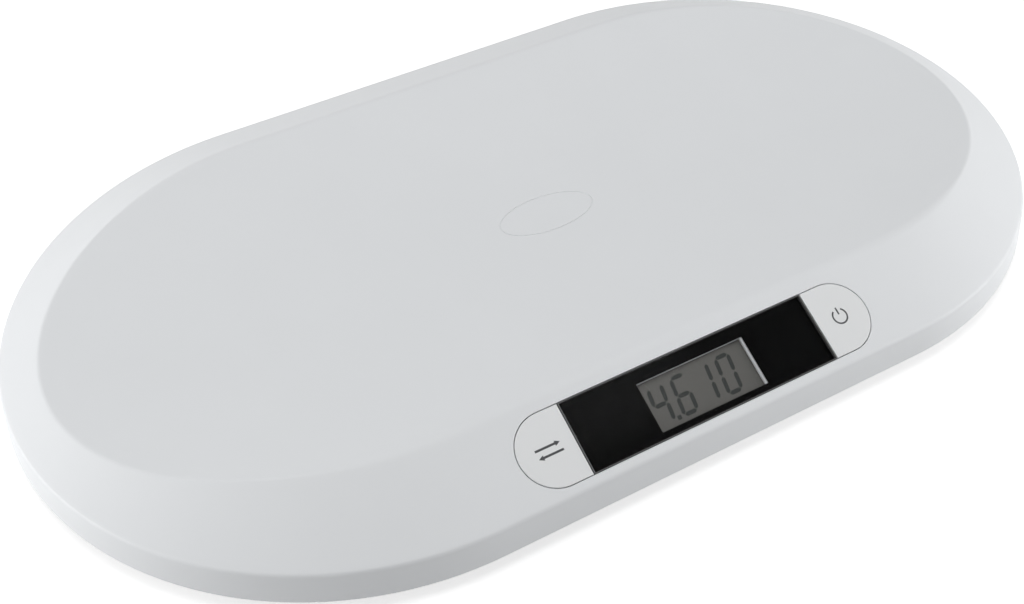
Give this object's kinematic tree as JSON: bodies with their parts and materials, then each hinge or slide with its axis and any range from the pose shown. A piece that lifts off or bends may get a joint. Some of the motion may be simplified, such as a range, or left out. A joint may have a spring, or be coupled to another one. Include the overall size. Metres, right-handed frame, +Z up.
{
  "type": "digital baby scale",
  "caption": "Stadium-shaped baby weighing scale with a shallow trough tray, a sloping display panel with press keys, a hinged battery door and load-cell feet.",
  "frame": {"origin": "on the floor, under the middle of the tray", "axes": "+X along the long side, to the right of someone who reads the display; +Y away from them, the display on the -Y side; +Z up"},
  "size_m": [0.55, 0.3236, 0.0447],
  "materials": {
    "housing": "satin white moulded ABS",
    "base": "fine matt white moulded ABS",
    "key": "satin white moulded ABS",
    "lens": "clear polished acrylic",
    "mask": "black print behind the lens",
    "lcd": "grey reflective liquid-crystal glass",
    "holder": "white moulded plastic",
    "zebra": "striped conductive silicone",
    "board": "green solder mask on glass-fibre board",
    "resin": "black potting resin",
    "switch": "black moulded nylon",
    "steel": "zinc-plated and ground steel",
    "plated": "bright nickel-plated spring steel",
    "clamp": "white moulded plastic",
    "cup": "light grey moulded plastic",
    "pad": "dark grey soft rubber",
    "battery": "plain dark printed sleeve over a steel can",
    "lead_white": "white insulated stranded wire",
    "lead_red": "red insulated stranded wire",
    "lead_black": "black insulated stranded wire"
  },
  "bodies": {
    "housing": {"top_shell": "housing", "bottom_shell": "base", "display_lens": "lens", "lens_mask": "mask", "lcd_glass": "lcd", "lcd_frame": "holder", "zebra_strip": "zebra", "main_board": "board", "controller_chip": "resin", "unit_switch": "switch", "power_switch": "switch", "load_cell_1": "steel", "load_cell_2": "steel", "load_cell_3": "steel", "load_cell_4": "steel", "housing_screw_1": "steel", "housing_screw_2": "steel", "housing_screw_3": "steel", "housing_screw_4": "steel", "housing_screw_5": "steel", "housing_screw_6": "steel", "housing_screw_7": "steel", "housing_screw_8": "steel", "board_screw_1": "steel", "board_screw_2": "steel", "board_screw_3": "steel", "board_screw_4": "steel", "battery_bridge": "plated", "contact_plus": "plated", "contact_minus": "plated", "battery_spring_1": "plated", "battery_spring_2": "plated", "cell_clamp_1": "clamp", "cell_clamp_2": "clamp", "cell_clamp_3": "clamp", "cell_clamp_4": "clamp", "battery_1": "battery", "battery_2": "battery", "cell_lead_1": "lead_white", "cell_lead_2": "lead_white", "cell_lead_3": "lead_white", "cell_lead_4": "lead_white", "battery_lead_plus": "lead_red", "battery_lead_minus": "lead_black"},
    "unit_key": {"unit_key": "key", "unit_plunger": "switch"},
    "power_key": {"power_key": "key", "power_plunger": "switch"},
    "battery_door": {"battery_door": "base"},
    "foot_1": {"foot_cup_1": "cup", "foot_pad_1": "pad"},
    "foot_2": {"foot_cup_2": "cup", "foot_pad_2": "pad"},
    "foot_3": {"foot_cup_3": "cup", "foot_pad_3": "pad"},
    "foot_4": {"foot_cup_4": "cup", "foot_pad_4": "pad"}
  },
  "joints": [
    {"name": "unit_key_press", "type": "slide", "parent": "housing", "child": "unit_key", "axis": [0, 0.4431, -0.8965], "range_m": [0, 0.0006], "stiffness_N_per_m": 2000},
    {"name": "power_key_press", "type": "slide", "parent": "housing", "child": "power_key", "axis": [0, 0.4431, -0.8965], "range_m": [0, 0.0006], "stiffness_N_per_m": 2000},
    {"name": "battery_door_swing", "type": "hinge", "parent": "housing", "child": "battery_door", "pos_m": [-0.0228, 0, 0.0085], "axis": [0, 1, 0], "range_deg": [0, 90]},
    {"name": "foot_1_sink", "type": "slide", "parent": "housing", "child": "foot_1", "axis": [0, 0, 1], "range_m": [0, 0.00025], "stiffness_N_per_m": 60000},
    {"name": "foot_2_sink", "type": "slide", "parent": "housing", "child": "foot_2", "axis": [0, 0, 1], "range_m": [0, 0.00025], "stiffness_N_per_m": 60000},
    {"name": "foot_3_sink", "type": "slide", "parent": "housing", "child": "foot_3", "axis": [0, 0, 1], "range_m": [0, 0.00025], "stiffness_N_per_m": 60000},
    {"name": "foot_4_sink", "type": "slide", "parent": "housing", "child": "foot_4", "axis": [0, 0, 1], "range_m": [0, 0.00025], "stiffness_N_per_m": 60000}
  ]
}
